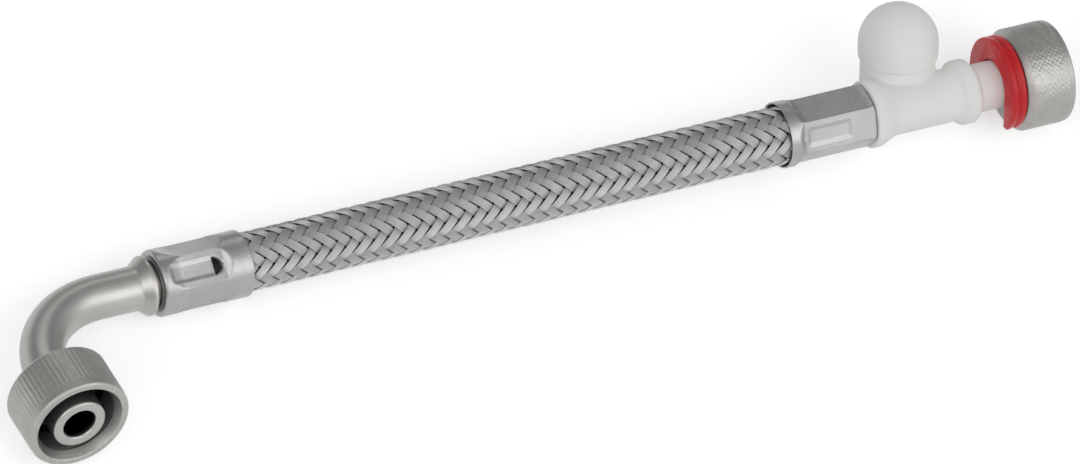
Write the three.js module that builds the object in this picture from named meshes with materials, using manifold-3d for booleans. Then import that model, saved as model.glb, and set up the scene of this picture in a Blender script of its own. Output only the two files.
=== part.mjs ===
// Braided metal connecting hose with a bent steel outlet, crimped ferrules,
// a plastic tee with a capped branch, a locking clip and two knurled union nuts.
// Millimetres, +Z up. The hose lies on its left nut, its tube flange and its right nut.
import * as THREE from 'three';
import * as BufferGeometryUtils from 'three/addons/utils/BufferGeometryUtils.js';
import Module from 'manifold-3d';

// Clearance between pieces that meet
const GAP = 0.3;

// Braided hose, measured along its axis from the left ferrule's mouth at x = 0
const HOSE_LENGTH = 148;
const BRAID_RADIUS = 7.25;
const BRAID_RELIEF = 0.5;
const BRAID_WALL = 0.95;
const CARRIERS = 12;
const FLOAT = 2;
const LINER_WALL = 2.0;

// Crimped ferrule, the same at both ends
const FERRULE_LENGTH = 24.0;
const FERRULE_RADIUS = 8.4;
const FERRULE_WALL = 0.85;
const FERRULE_MOUTH = 3.2;
const FERRULE_EDGE = 0.4;
const CRIMP_TAPER = 3.0;
const CRIMP_ACROSS_FLATS = 14.3;
const CRIMP_SQUEEZE = 1.4;
const CRIMP_THINNING = 0.6;
const WINDOW_LENGTH = 12.5;
const WINDOW_WIDTH = 4.8;
const WINDOW_DEPTH = 0.4;
const WINDOW_SLOPE = 0.8;
const LIP_THICKNESS = 1.4;

// Where the press ran in and out of each ferrule, and how far it was turned round the hose
const LEFT_PRESS = { start: 3.8, flatStart: 7.4, flatEnd: 18.2, end: 25.5, window: 15.6, turn: 54 };
const RIGHT_PRESS = { start: 1.4, flatStart: 4.2, flatEnd: 18.6, end: 22.4, window: 11.2, turn: 32.6 };

// Bent outlet tube
const TUBE_RADIUS = 5.6;
const TUBE_BORE = 4.2;
const BEND_RADIUS = 23;
const BEND_STEPS = 12;
const TUBE_STRAIGHT = 10;
const OUTLET_STRAIGHT = 16.9;
const FLARE_RADIUS = 7.5;
const FLARE_RIM = 1.0;
const FLARE_SLOPE = 2.4;
const FLARE_GROOVE = 1.4;
const OUTLET_COLLAR_RADIUS = 6.9;
const OUTLET_COLLAR_LENGTH = 6.0;
const OUTLET_COLLAR_SLOPE = 1.0;

// Barbed hose tails
const BARB_DEPTH = 0.35;
const BARB_COUNT = 4;
const BARB_LOW_SHARE = 0.4;
const BARB_RISE_SHARE = 0.05;
const TAIL_BORE = 2.1;

// Union nuts
const NUT_BORE = 10.1;
const NUT_WEB = 3.0;
const NUT_CHAMFER = 1.5;
const WEB_CHAMFER = 0.4;
const MOUTH_CHAMFER = 0.7;
const THREAD_LEAD = 1.2;
const LEFT_NUT = { radius: 13.3, length: 15, rim: 2.4, teeth: 40, depth: 0.4 };
const RIGHT_NUT = { radius: 13.0, length: 13, rim: 1.6, teeth: 32, depth: 0.45 };

// Plastic tee
const TEE_COLLAR_RADIUS = 8.6;
const TEE_COLLAR_LENGTH = 2.4;
const TEE_TAPER = 4.4;
const RUN_RADIUS = 6.75;
const RUN_BORE = 4.3;
const RUN_LENGTH = 17.6;
const BEAD_RADIUS = 8.2;
const BEAD_LENGTH = 5.6;
const BEAD_SLOPE = 1.3;
const NECK_RADIUS = 6.1;
const NECK_EXPOSED = 6.0;
const SPIGOT_FLANGE_RADIUS = 9.3;
const SPIGOT_FLANGE_LENGTH = 2.0;
const WASHER_THICKNESS = 2.0;
const WASHER_RADIUS = 9.6;

// Branch of the tee, an upright chamber that stands beside the run
const BRANCH_LEAN = THREE.MathUtils.degToRad(13.4);
const BRANCH_RADIUS = 9.4;
const BRANCH_WALL = 1.8;
const BRANCH_ALONG = 13.4;
const BRANCH_ASIDE = 8.0;
const BRANCH_FOOT = 5.0;
const BRANCH_HEIGHT = 9.4;
const FOOT_CHAMFER = 2.0;
const CAP_RADIUS = 10.1;
const CAP_WALL = 1.6;
const CAP_SKIRT = 3.9;
const CAP_PLUG = 3.0;

// Locking clip
const CLIP_RADIUS = 12.0;
const CLIP_THICKNESS = 3.8;
const CLIP_LEG = 8.9;
const CLIP_GROOVE = 0.5;
const CLIP_RIDGE = 1.45;

// Small bevels of moulded and turned edges
const EDGE = 0.3;

const STEEL = { color: 0xb9b6b1, metalness: 1, roughness: 0.3 };
const BRAID_STEEL = { color: 0xb4b4b4, metalness: 1, roughness: 0.35 };
const NICKEL = { color: 0xb3b0ab, metalness: 1, roughness: 0.38 };
const RUBBER = { color: 0x1c1c1c, metalness: 0, roughness: 0.85 };
const NATURAL_PLASTIC = { color: 0xe3e5e1, metalness: 0, roughness: 0.45 };
const RED_PLASTIC = { color: 0xc4202a, metalness: 0, roughness: 0.4 };

// Places that follow from the sizes
const LINER_RADIUS = BRAID_RADIUS - BRAID_WALL - GAP;
const CRIMP_BORE = BRAID_RADIUS - CRIMP_SQUEEZE + GAP;
const SQUEEZED_WALL = LINER_WALL - CRIMP_THINNING;
const TAIL_RADIUS = LINER_RADIUS - CRIMP_SQUEEZE - SQUEEZED_WALL - GAP;
const FLARE_FACE = -FERRULE_LENGTH - FLARE_GROOVE;
const FLARE_END = FLARE_FACE - FLARE_RIM - FLARE_SLOPE;
const CORNER_X = FLARE_END - TUBE_STRAIGHT - BEND_RADIUS;
const OUTLET_REACH = BEND_RADIUS + OUTLET_STRAIGHT;
const HOSE_END = FERRULE_LENGTH - LIP_THICKNESS - GAP;
const TAIL_LENGTH = HOSE_END - FERRULE_MOUTH - CRIMP_TAPER;
const TEE_START = HOSE_LENGTH + FERRULE_LENGTH + GAP;
const BEAD_START = TEE_START + TEE_COLLAR_LENGTH + TEE_TAPER + RUN_LENGTH;
const CLIP_START = BEAD_START + BEAD_LENGTH + NECK_EXPOSED;
const RIGHT_NUT_START = CLIP_START + CLIP_THICKNESS + GAP;
const SPIGOT_FLANGE_START = RIGHT_NUT_START + NUT_WEB + GAP;
const SPIGOT_END = SPIGOT_FLANGE_START + SPIGOT_FLANGE_LENGTH;
const WASHER_START = SPIGOT_END + GAP;

const X_AXIS = new THREE.Vector3(1, 0, 0);
const OUTLET = new THREE.Vector3(0, -1, 0);

const wasm = await Module();
wasm.setup();

// Closed geometry as a manifold solid
function solid(geometry) {
  const bare = geometry.index ? geometry.toNonIndexed() : geometry.clone();
  bare.deleteAttribute('normal');
  bare.deleteAttribute('uv');
  const merged = BufferGeometryUtils.mergeVertices(bare, 1e-4);
  return new wasm.Manifold(new wasm.Mesh({
    numProp: 3,
    vertProperties: Float32Array.from(merged.attributes.position.array),
    triVerts: Uint32Array.from(merged.index.array),
  }));
}

// Manifold solid as a geometry with flat facets
function facets(manifold) {
  const { numProp, vertProperties, triVerts } = manifold.getMesh();
  const positions = new Float32Array((vertProperties.length / numProp) * 3);
  for (let i = 0; i < positions.length / 3; i++) {
    positions.set(vertProperties.slice(i * numProp, i * numProp + 3), i * 3);
  }
  const geometry = new THREE.BufferGeometry();
  geometry.setAttribute('position', new THREE.BufferAttribute(positions, 3));
  geometry.setIndex(new THREE.BufferAttribute(Uint32Array.from(triVerts), 1));
  geometry.computeVertexNormals();
  return geometry;
}

// Ring or rod around the X axis from its [x, radius] outline, in either direction.
// The outline closes on itself unless it starts and ends on the axis.
function revolve(outline, segments) {
  const points = outline.map(([x, radius]) => new THREE.Vector2(radius, x));
  if (THREE.ShapeUtils.area(points) < 0) points.reverse();
  if (outline[0][1] > 0) points.push(points[0].clone());
  return new THREE.LatheGeometry(points, segments).rotateZ(-Math.PI / 2);
}

// Round bar along a path, with the given number of steps
function bar(path, radius, sides, steps) {
  const circle = new THREE.Shape();
  circle.absarc(0, 0, radius, 0, 2 * Math.PI);
  return new THREE.ExtrudeGeometry(circle, { steps, curveSegments: sides / 2, extrudePath: path });
}

function material({ color, metalness, roughness }) {
  return new THREE.MeshStandardMaterial({ color, metalness, roughness });
}

function piece(name, geometry, finish) {
  const mesh = new THREE.Mesh(geometry, material(finish));
  mesh.name = name;
  return mesh;
}

// Braid: a tube whose wall folds along the floats of a two-over, two-under weave.
// Even lattice points are crossings and stand high, odd ones are the gaps between strands.
// A fold joins two crossings where one strand floats over both.
function braidGeometry() {
  const around = 2 * CARRIERS;
  const lead = 2 * Math.PI * BRAID_RADIUS;
  const rows = 2 * Math.round(HOSE_LENGTH * CARRIERS / lead);
  const squeezed = BRAID_RADIUS - CRIMP_SQUEEZE;
  const rings = [{ x: -HOSE_END, radius: squeezed }, { x: -FERRULE_MOUTH - CRIMP_TAPER, radius: squeezed }];
  for (let row = 0; row <= rows; row++) {
    rings.push({ x: HOSE_LENGTH * row / rows, radius: BRAID_RADIUS, row });
  }
  rings.push({ x: HOSE_LENGTH + FERRULE_MOUTH + CRIMP_TAPER, radius: squeezed });
  rings.push({ x: HOSE_LENGTH + HOSE_END, radius: squeezed });
  const outerRings = rings.length;
  const wall = (ring) => ring.radius - BRAID_WALL;
  const inner = [rings.at(-1), rings.at(-2), rings.at(-3), rings[2], rings[1], rings[0]];
  for (const ring of inner) rings.push({ x: ring.x, radius: wall(ring) });

  const positions = [];
  rings.forEach((ring, r) => {
    for (let i = 0; i < around; i++) {
      const angle = 2 * Math.PI * i / around;
      const sunk = r < outerRings && ring.row !== undefined && (i + ring.row) % 2 !== 0;
      const radius = ring.radius - (sunk ? BRAID_RELIEF : 0);
      positions.push(ring.x, radius * Math.cos(angle), radius * Math.sin(angle));
    }
  });

  // Places round the hose where the strands that rise with the angle lie on top
  const rising = (i) => i % (2 * FLOAT) < FLOAT;
  const indices = [];
  rings.forEach((ring, r) => {
    const next = (r + 1) % rings.length;
    for (let i = 0; i < around; i++) {
      const j = (i + 1) % around;
      const a = r * around + i;
      const b = next * around + i;
      const c = next * around + j;
      const d = r * around + j;
      let splitAC = true;
      if (r < outerRings && ring.row !== undefined) {
        const even = (i + ring.row) % 2 === 0;
        const floats = even
          ? rising(i) && rising(i + 1)
          : !rising(i) && !rising(i + 1);
        splitAC = even === floats;
      }
      if (splitAC) indices.push(a, c, b, a, d, c);
      else indices.push(a, d, b, d, c, b);
    }
  });
  const geometry = new THREE.BufferGeometry();
  geometry.setAttribute('position', new THREE.Float32BufferAttribute(positions, 3));
  geometry.setIndex(indices);
  geometry.computeVertexNormals();
  return geometry;
}

// Liner: a rubber tube inside the braid, squeezed where the ferrules are crimped
function linerGeometry() {
  const outside = LINER_RADIUS;
  const inside = LINER_RADIUS - LINER_WALL;
  const squeezedOutside = outside - CRIMP_SQUEEZE;
  const squeezedInside = TAIL_RADIUS + GAP;
  const start = -HOSE_END;
  const end = HOSE_LENGTH + HOSE_END;
  const taper = FERRULE_MOUTH + CRIMP_TAPER;
  return revolve([
    [start, squeezedOutside], [start, squeezedInside],
    [-taper, squeezedInside], [0, inside],
    [HOSE_LENGTH, inside], [HOSE_LENGTH + taper, squeezedInside],
    [end, squeezedInside], [end, squeezedOutside],
    [HOSE_LENGTH + taper, squeezedOutside], [HOSE_LENGTH, outside],
    [0, outside], [-taper, squeezedOutside],
  ], 24);
}

// Ferrule: a barrel from its mouth at x = 0 towards +x, pressed to a hexagon, with a sunk
// window on every second flat and a lip at its far end
function ferruleGeometry(press) {
  const mouthBore = BRAID_RADIUS + GAP;
  const lipBore = TUBE_RADIUS + GAP;
  const taper = FERRULE_MOUTH + CRIMP_TAPER;
  const lipStart = FERRULE_LENGTH - LIP_THICKNESS;
  const barrel = solid(revolve([
    [0, FERRULE_RADIUS - FERRULE_EDGE], [0, mouthBore], [FERRULE_EDGE, mouthBore],
    [taper, CRIMP_BORE], [lipStart, CRIMP_BORE], [lipStart, lipBore],
    [FERRULE_LENGTH, lipBore], [FERRULE_LENGTH, FERRULE_RADIUS - 2 * FERRULE_EDGE],
    [FERRULE_LENGTH - 2 * FERRULE_EDGE, FERRULE_RADIUS], [FERRULE_EDGE, FERRULE_RADIUS],
  ], 24));

  const flat = CRIMP_ACROSS_FLATS / 2;
  const outside = FERRULE_RADIUS + FERRULE_WALL;
  const die = new THREE.Shape();
  die.moveTo(press.start, outside);
  die.lineTo(press.flatStart, flat);
  die.lineTo(press.flatEnd, flat);
  die.lineTo(press.end, outside);
  const pressed = new THREE.ExtrudeGeometry(die, { depth: 2 * FERRULE_RADIUS, bevelEnabled: false })
    .translate(0, 0, -FERRULE_RADIUS);

  const half = WINDOW_LENGTH / 2;
  const above = flat + FERRULE_WALL;
  const sunk = new THREE.Shape();
  sunk.moveTo(press.window - half, above);
  sunk.lineTo(press.window - half, flat);
  sunk.lineTo(press.window - half + WINDOW_SLOPE, flat - WINDOW_DEPTH);
  sunk.lineTo(press.window + half - WINDOW_SLOPE, flat - WINDOW_DEPTH);
  sunk.lineTo(press.window + half, flat);
  sunk.lineTo(press.window + half, above);
  const window = new THREE.ExtrudeGeometry(sunk, { depth: WINDOW_WIDTH, bevelEnabled: false })
    .translate(0, 0, -WINDOW_WIDTH / 2);

  let ferrule = barrel;
  for (let side = 0; side < 6; side++) {
    const turn = side * Math.PI / 3 + THREE.MathUtils.degToRad(press.turn);
    ferrule = ferrule.subtract(solid(pressed.clone().rotateX(turn)));
    if (side % 2 === 0) ferrule = ferrule.subtract(solid(window.clone().rotateX(turn)));
  }
  return facets(ferrule);
}

// Outline of a barbed tail from the fitting's face to its tip, as distances into the hose.
// Its neck passes the ferrule's lip, which lies the given space from the face.
function tailOutline(space) {
  const start = space + LIP_THICKNESS;
  const pitch = TAIL_LENGTH / BARB_COUNT;
  const outline = [[0, TUBE_RADIUS], [start, TUBE_RADIUS]];
  for (let barb = 0; barb < BARB_COUNT; barb++) {
    outline.push([start + barb * pitch, TAIL_RADIUS - BARB_DEPTH]);
    const riseStart = start + (barb + BARB_LOW_SHARE) * pitch;
    outline.push([riseStart, TAIL_RADIUS - BARB_DEPTH]);
    outline.push([riseStart + BARB_RISE_SHARE * pitch, TAIL_RADIUS]);
  }
  outline.push([start + TAIL_LENGTH, TAIL_RADIUS - BARB_DEPTH]);
  return outline;
}

// Elbow tube: a steel tube bent through a right angle, with a flare and a barbed tail
// formed on one end and a collar on the other
function elbowGeometry() {
  const corner = new THREE.Vector3(CORNER_X, 0, 0);
  const bendStart = corner.clone().addScaledVector(X_AXIS, BEND_RADIUS);
  const bendEnd = corner.clone().addScaledVector(OUTLET, BEND_RADIUS);
  const mouth = corner.clone().addScaledVector(OUTLET, OUTLET_REACH);
  const centre = bendStart.clone().addScaledVector(OUTLET, BEND_RADIUS);
  const bendPoint = (step) => {
    const angle = step / BEND_STEPS * Math.PI / 2;
    return centre.clone()
      .addScaledVector(X_AXIS, -BEND_RADIUS * Math.sin(angle))
      .addScaledVector(OUTLET, -BEND_RADIUS * Math.cos(angle));
  };
  const tubePath = (start, end) => {
    const path = new THREE.CurvePath();
    path.add(new THREE.LineCurve3(start, bendStart));
    for (let step = 0; step < BEND_STEPS; step++) {
      path.add(new THREE.LineCurve3(bendPoint(step), bendPoint(step + 1)));
    }
    path.add(new THREE.LineCurve3(bendEnd, end));
    return path;
  };

  const steps = BEND_STEPS + 3;
  const tubeStart = new THREE.Vector3(FLARE_END, 0, 0);
  let elbow = solid(bar(tubePath(tubeStart, mouth), TUBE_RADIUS, 18, steps));
  const tail = tailOutline(FLARE_GROOVE);
  const flareStart = FLARE_END + TUBE_RADIUS / 4;
  const outline = [
    [FLARE_END, 0], [FLARE_END, TUBE_RADIUS - EDGE], [flareStart, TUBE_RADIUS + EDGE],
    [FLARE_FACE - FLARE_RIM, FLARE_RADIUS], [FLARE_FACE - EDGE, FLARE_RADIUS],
    [FLARE_FACE, FLARE_RADIUS - EDGE],
  ];
  for (const [distance, radius] of tail) outline.push([FLARE_FACE + distance, radius]);
  outline.push([FLARE_FACE + tail.at(-1)[0], 0]);
  elbow = elbow.add(solid(revolve(outline, 18)));

  const collarStart = OUTLET_REACH - OUTLET_COLLAR_LENGTH;
  const collar = revolve([
    [OUTLET_REACH, 0], [OUTLET_REACH, OUTLET_COLLAR_RADIUS - EDGE],
    [OUTLET_REACH - EDGE, OUTLET_COLLAR_RADIUS],
    [collarStart + OUTLET_COLLAR_SLOPE, OUTLET_COLLAR_RADIUS],
    [collarStart, TUBE_RADIUS - EDGE], [collarStart, 0],
  ], 28);
  elbow = elbow.add(solid(collar.rotateZ(-Math.PI / 2).translate(CORNER_X, 0, 0)));

  const pastMouth = mouth.clone().addScaledVector(OUTLET, 1);
  const boreStart = new THREE.Vector3(FLARE_FACE, 0, 0);
  elbow = elbow.subtract(solid(bar(tubePath(boreStart, pastMouth), TUBE_BORE, 12, steps)));
  const tailBore = revolve([
    [FLARE_FACE + HOSE_END, 0], [FLARE_FACE + HOSE_END, TAIL_BORE],
    [FLARE_FACE + 1, TAIL_BORE], [FLARE_FACE - 1, TUBE_BORE - EDGE], [FLARE_FACE - 1, 0],
  ], 12);
  return facets(elbow.subtract(solid(tailBore)));
}

// Union nut along +x from its web to its mouth, with a knurled band. A straight knurl is
// one row of ridges, a crossed one is rows of points that stand between those of the next row.
function nutGeometry({ radius, length, rim, teeth, depth }, webBore, crossed) {
  const knurlStart = NUT_CHAMFER;
  const knurlEnd = length - rim;
  const knurlLength = knurlEnd - knurlStart;
  const rows = crossed ? Math.round(knurlLength * teeth / (2 * Math.PI * radius)) : 1;
  const outline = [[0, webBore + WEB_CHAMFER], [0, radius - NUT_CHAMFER]];
  for (let row = 0; row <= rows; row++) outline.push([knurlStart + knurlLength * row / rows, radius]);
  const smooth = radius - depth;
  outline.push([knurlEnd + EDGE, smooth], [length - MOUTH_CHAMFER, smooth]);
  outline.push([length, smooth - MOUTH_CHAMFER], [length, NUT_BORE + THREAD_LEAD]);
  outline.push([length - THREAD_LEAD, NUT_BORE], [NUT_WEB, NUT_BORE]);
  outline.push([NUT_WEB, webBore], [WEB_CHAMFER, webBore]);
  const geometry = revolve(outline, 2 * teeth);
  const position = geometry.attributes.position;
  const point = new THREE.Vector3();
  for (let i = 0; i < position.count; i++) {
    point.fromBufferAttribute(position, i);
    const reach = Math.hypot(point.y, point.z);
    if (Math.abs(reach - radius) > 1e-3) continue;
    const ridge = Math.round(Math.atan2(point.z, point.y) / Math.PI * teeth);
    const row = Math.round((point.x - knurlStart) / knurlLength * rows);
    const low = (ridge + (crossed ? row : 0)) % 2 !== 0;
    const share = low ? (radius - depth) / radius : 1;
    position.setXYZ(i, point.x, point.y * share, point.z * share);
  }
  return geometry;
}

// Direction of the branch, and a solid moved from the upright Z axis to it
function alongBranch(geometry) {
  return geometry.translate(0, BRANCH_ASIDE, 0).rotateX(-BRANCH_LEAN)
    .translate(TEE_START + BRANCH_ALONG, 0, 0);
}

function upright(outline, segments) {
  return alongBranch(revolve(outline, segments).rotateY(-Math.PI / 2));
}

// Tee body: barbed tail, collar, run with a bead, neck and spigot flange, with the branch
function teeGeometry() {
  const tail = tailOutline(GAP);
  const outline = [[TEE_START - tail.at(-1)[0], 0]];
  for (const [distance, radius] of [...tail].reverse()) outline.push([TEE_START - distance, radius]);
  const runStart = TEE_START + TEE_COLLAR_LENGTH + TEE_TAPER;
  const beadEnd = BEAD_START + BEAD_LENGTH;
  outline.push([TEE_START, TEE_COLLAR_RADIUS - EDGE], [TEE_START + EDGE, TEE_COLLAR_RADIUS]);
  outline.push([TEE_START + TEE_COLLAR_LENGTH, TEE_COLLAR_RADIUS]);
  outline.push([runStart, RUN_RADIUS], [BEAD_START, RUN_RADIUS]);
  outline.push([BEAD_START + BEAD_SLOPE, BEAD_RADIUS - EDGE]);
  outline.push([BEAD_START + BEAD_SLOPE + 2 * EDGE, BEAD_RADIUS]);
  outline.push([beadEnd - BEAD_SLOPE, BEAD_RADIUS], [beadEnd - EDGE, BEAD_RADIUS - 2 * EDGE]);
  outline.push([beadEnd, NECK_RADIUS + EDGE], [beadEnd + EDGE, NECK_RADIUS]);
  outline.push([SPIGOT_FLANGE_START, NECK_RADIUS], [SPIGOT_FLANGE_START, SPIGOT_FLANGE_RADIUS]);
  outline.push([SPIGOT_END - EDGE, SPIGOT_FLANGE_RADIUS], [SPIGOT_END, SPIGOT_FLANGE_RADIUS - EDGE]);
  outline.push([SPIGOT_END, 0]);
  let tee = solid(revolve(outline, 24));

  const chamber = upright([
    [-BRANCH_FOOT, 0], [-BRANCH_FOOT, BRANCH_RADIUS - FOOT_CHAMFER],
    [FOOT_CHAMFER - BRANCH_FOOT, BRANCH_RADIUS], [BRANCH_HEIGHT, BRANCH_RADIUS], [BRANCH_HEIGHT, 0],
  ], 28);
  tee = tee.add(solid(chamber));
  const hollow = upright([
    [BRANCH_WALL - BRANCH_FOOT, 0], [BRANCH_WALL - BRANCH_FOOT, BRANCH_RADIUS - BRANCH_WALL],
    [BRANCH_HEIGHT + 1, BRANCH_RADIUS - BRANCH_WALL], [BRANCH_HEIGHT + 1, 0],
  ], 18);
  tee = tee.subtract(solid(hollow));
  const bore = revolve([
    [TEE_START - HOSE_END, 0], [TEE_START - HOSE_END, TAIL_BORE], [TEE_START, TAIL_BORE],
    [runStart, RUN_BORE], [SPIGOT_END + 1, RUN_BORE], [SPIGOT_END + 1, 0],
  ], 14);
  return facets(tee.subtract(solid(bore)));
}

// Branch cap: a hollow dome with a skirt on the branch's rim and a plug inside it
function capGeometry() {
  const seat = BRANCH_HEIGHT + GAP;
  const centre = seat + CAP_SKIRT;
  const plugRadius = BRANCH_RADIUS - BRANCH_WALL - GAP;
  const inside = CAP_RADIUS - CAP_WALL;
  const hollow = plugRadius - CAP_WALL;
  const arc = (radius, from, to, steps) => {
    const points = [];
    for (let step = 0; step <= steps; step++) {
      const angle = from + (to - from) * step / steps;
      points.push([centre + radius * Math.sin(angle), Math.max(0, radius * Math.cos(angle))]);
    }
    return points;
  };
  const outline = [
    ...arc(inside, Math.PI / 2, Math.acos(hollow / inside), 3),
    [seat - CAP_PLUG, hollow], [seat - CAP_PLUG, plugRadius], [seat, plugRadius],
    [seat, CAP_RADIUS - EDGE], [seat + EDGE, CAP_RADIUS], ...arc(CAP_RADIUS, 0, Math.PI / 2, 6),
  ];
  return upright(outline, 26);
}

// Locking clip: a horseshoe with legs down along the branch and a groove round its rim
function clipGeometry() {
  const slot = NECK_RADIUS + GAP;
  const shape = (radius) => {
    const outer = Math.sqrt(radius ** 2 - CLIP_LEG ** 2);
    const horseshoe = new THREE.Shape();
    horseshoe.moveTo(slot, -CLIP_LEG);
    horseshoe.lineTo(outer, -CLIP_LEG);
    const angle = Math.atan2(-CLIP_LEG, outer);
    horseshoe.absarc(0, 0, radius, angle, Math.PI - angle, false);
    horseshoe.lineTo(-slot, -CLIP_LEG);
    horseshoe.lineTo(-slot, 0);
    horseshoe.absarc(0, 0, slot, Math.PI, 0, true);
    return horseshoe;
  };
  const plate = (radius, from, to) => new THREE.ExtrudeGeometry(shape(radius), {
    depth: to - from, bevelEnabled: false, curveSegments: 14,
  }).translate(0, 0, from);
  let clip = solid(plate(CLIP_RADIUS - CLIP_GROOVE, 0, CLIP_THICKNESS));
  clip = clip.add(solid(plate(CLIP_RADIUS, 0, CLIP_RIDGE)));
  clip = clip.add(solid(plate(CLIP_RADIUS, CLIP_THICKNESS - CLIP_RIDGE, CLIP_THICKNESS)));
  const geometry = facets(clip);
  const turned = new THREE.Matrix4().makeBasis(
    new THREE.Vector3(0, 1, 0), new THREE.Vector3(0, 0, 1), X_AXIS,
  );
  return geometry.applyMatrix4(turned).rotateX(-BRANCH_LEAN).translate(CLIP_START, 0, 0);
}

function washerGeometry() {
  const end = WASHER_START + WASHER_THICKNESS;
  return revolve([
    [WASHER_START, RUN_BORE + GAP], [WASHER_START, WASHER_RADIUS],
    [end, WASHER_RADIUS], [end, RUN_BORE + GAP],
  ], 28);
}

// The floor touches the right nut's rear edge, the left ferrule's tail and the left nut's
// rear edge. Returns the upward direction of that floor in the hose's own frame.
function restingUp() {
  const nutEdge = { x: RIGHT_NUT_START + NUT_CHAMFER, radius: RIGHT_NUT.radius };
  const ferruleEdge = { x: 2 * FERRULE_EDGE - FERRULE_LENGTH, radius: FERRULE_RADIUS };
  const slope = (nutEdge.radius - ferruleEdge.radius) / (nutEdge.x - ferruleEdge.x);
  const pitch = Math.atan(slope);
  const cornerHeight = (ferruleEdge.radius + slope * (CORNER_X - ferruleEdge.x)) * Math.cos(pitch);
  const distance = OUTLET_REACH - LEFT_NUT.length + NUT_CHAMFER;
  const reach = distance ** 2 + LEFT_NUT.radius ** 2;
  const rise = (-cornerHeight * distance
    + LEFT_NUT.radius * Math.sqrt(reach - cornerHeight ** 2)) / reach;
  return new THREE.Vector3(Math.sin(pitch), -rise, Math.sqrt(1 - Math.sin(pitch) ** 2 - rise ** 2));
}

const hose = new THREE.Group();

hose.add(piece('hose_liner', linerGeometry(), RUBBER));
hose.add(piece('wire_braid', braidGeometry(), BRAID_STEEL));

const leftFerrule = piece('left_ferrule', ferruleGeometry(LEFT_PRESS), STEEL);
leftFerrule.rotation.z = Math.PI;
const rightFerrule = piece('right_ferrule', ferruleGeometry(RIGHT_PRESS), STEEL);
rightFerrule.position.x = HOSE_LENGTH;
hose.add(leftFerrule, rightFerrule);

hose.add(piece('elbow_tube', elbowGeometry(), STEEL));
hose.add(piece('tee_body', teeGeometry(), NATURAL_PLASTIC));
hose.add(piece('branch_cap', capGeometry(), NATURAL_PLASTIC));
hose.add(piece('locking_clip', clipGeometry(), RED_PLASTIC));
hose.add(piece('right_seal_washer', washerGeometry(), RUBBER));

const leftNut = piece('left_union_nut', nutGeometry(LEFT_NUT, TUBE_RADIUS + GAP, false), NICKEL);
leftNut.rotation.z = -Math.PI / 2;
leftNut.position.set(CORNER_X, -(OUTLET_REACH - LEFT_NUT.length), 0);
const rightNut = piece('right_union_nut', nutGeometry(RIGHT_NUT, NECK_RADIUS + GAP, true), NICKEL);
rightNut.position.x = RIGHT_NUT_START;
hose.add(leftNut, rightNut);

// Turn the hose from its own frame to the one in which it lies on the floor
const up = restingUp();
const along = X_AXIS.clone().addScaledVector(up, -up.x).normalize();
const across = up.clone().cross(along);
const fromFloor = new THREE.Matrix4().makeBasis(along, across, up);
hose.quaternion.setFromRotationMatrix(fromFloor.transpose());

// The origin is on the floor, under the middle of the whole hose
const bounds = new THREE.Box3().setFromObject(hose, true);
const middle = bounds.getCenter(new THREE.Vector3());
hose.position.set(-middle.x, -middle.y, -bounds.min.z);

const group = new THREE.Group();
group.add(hose);

export default group;
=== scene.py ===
import math

import bmesh
import bpy
import numpy as np
from mathutils import Matrix, Vector


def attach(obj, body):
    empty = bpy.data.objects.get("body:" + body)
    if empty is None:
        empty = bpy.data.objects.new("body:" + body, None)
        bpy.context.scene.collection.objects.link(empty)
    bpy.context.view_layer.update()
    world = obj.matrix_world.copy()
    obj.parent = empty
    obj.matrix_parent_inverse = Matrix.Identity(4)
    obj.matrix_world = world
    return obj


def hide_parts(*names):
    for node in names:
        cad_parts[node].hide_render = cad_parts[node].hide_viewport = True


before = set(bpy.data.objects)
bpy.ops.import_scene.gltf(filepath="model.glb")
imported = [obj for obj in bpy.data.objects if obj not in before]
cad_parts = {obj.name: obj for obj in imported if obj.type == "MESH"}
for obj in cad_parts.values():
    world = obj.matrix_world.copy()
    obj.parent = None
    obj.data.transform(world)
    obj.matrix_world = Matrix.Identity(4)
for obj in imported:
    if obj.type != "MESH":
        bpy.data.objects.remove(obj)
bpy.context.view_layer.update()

bl_info = {
    "name": "Braided Connecting Hose",
    "version": (1, 0, 0),
    "blender": (4, 5, 0),
    "location": "3D View > Sidebar > Hose",
    "description": "Builds a braided metal connecting hose with its bend, tee, clip and union nuts",
    "category": "Add Mesh",
}

MM = 0.001

# The hose's own frame: millimetres, the axis along X from the left ferrule's mouth,
# the outlet towards -Y. These rows turn it to the frame in which it lies on the floor.
HOSE_TO_ROW = Matrix((
    (0.99981185, 0.00394787, -0.01899145, -75.1768),
    (0.0, 0.9790697, 0.20352522, 9.2608),
    (0.01939745, -0.20348692, 0.97888549, 8.848),
    (0.0, 0.0, 0.0, 1.0 / MM),
)) * MM

# Sizes in millimetres
GAP = 0.3
HOSE_LENGTH = 148.0
BRAID_RADIUS = 7.25
BRAID_SWELL = 0.2
WIRE_OVERRUN = 5.5
FERRULE_LENGTH = 24.0
FERRULE_RADIUS = 8.4
FERRULE_WALL = 0.85
FERRULE_MOUTH = 3.2
MOUTH_SHADE = 3.0
CRIMP_TAPER = 3.0
CRIMP_BORE = 6.15
CRIMP_FLAT = 7.15
POCKET_LENGTH = 2.6
POCKET_OVERLAP = 0.6
POCKET_RIM = 0.82
WINDOW_LENGTH = 12.5
WINDOW_WIDTH = 4.8
WINDOW_SLOPE = 1.1
WINDOW_EDGE_INSIDE = 0.75
WINDOW_EDGE_OUTSIDE = 0.15
LIP_THICKNESS = 1.4
LEFT_PRESS = {
    "start": 3.8, "flat_start": 7.4, "flat_end": 18.2, "end": 25.5, "window": 15.6, "turn": 54.0}
RIGHT_PRESS = {
    "start": 1.4, "flat_start": 4.2, "flat_end": 23.6, "end": 27.0, "window": 11.2, "turn": 32.6}
PRESS_SOFTNESS = 0.15
PRESS_BLEND = 0.3
PRESSED_FROM = CRIMP_FLAT + 0.45
MOUTH_ROLL = 0.45
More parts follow.
